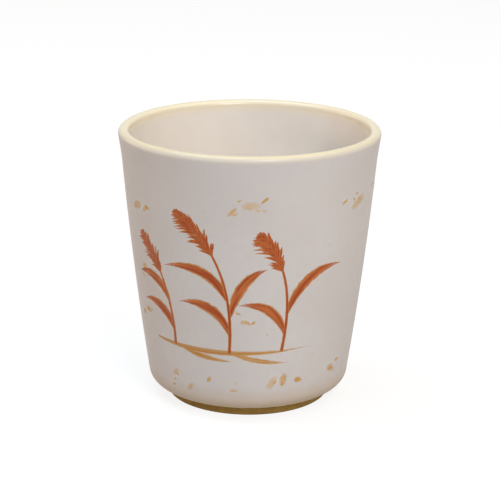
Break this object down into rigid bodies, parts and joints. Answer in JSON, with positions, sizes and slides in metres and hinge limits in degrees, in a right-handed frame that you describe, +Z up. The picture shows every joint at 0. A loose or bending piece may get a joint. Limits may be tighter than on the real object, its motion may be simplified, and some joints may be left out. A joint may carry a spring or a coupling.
{
  "type": "handleless tea cup",
  "caption": "Handleless tapered tea cup in glazed stoneware, cream inside, off-white outside with an enamel reed picture, on a bare brown foot ring. Holds a hot drink.",
  "frame": {"origin": "centre of the face that the cup stands on, under the foot ring", "axes": "+Z up along the cup's axis; -Y faces the viewer and carries the picture; +X to the viewer's right"},
  "size_m": [0.0826, 0.0826, 0.087],
  "materials": {
    "body_clay": "matte",
    "foot_clay": "matte",
    "cream_glaze": "satin",
    "white_glaze": "satin",
    "rust_enamel": "satin"
  },
  "bodies": {
    "root": {"clay_body": "body_clay", "foot_ring": "foot_clay", "liner_glaze": "cream_glaze", "outer_glaze": "white_glaze", "base_glaze": "white_glaze", "reed_print": "rust_enamel"}
  },
  "joints": []
}
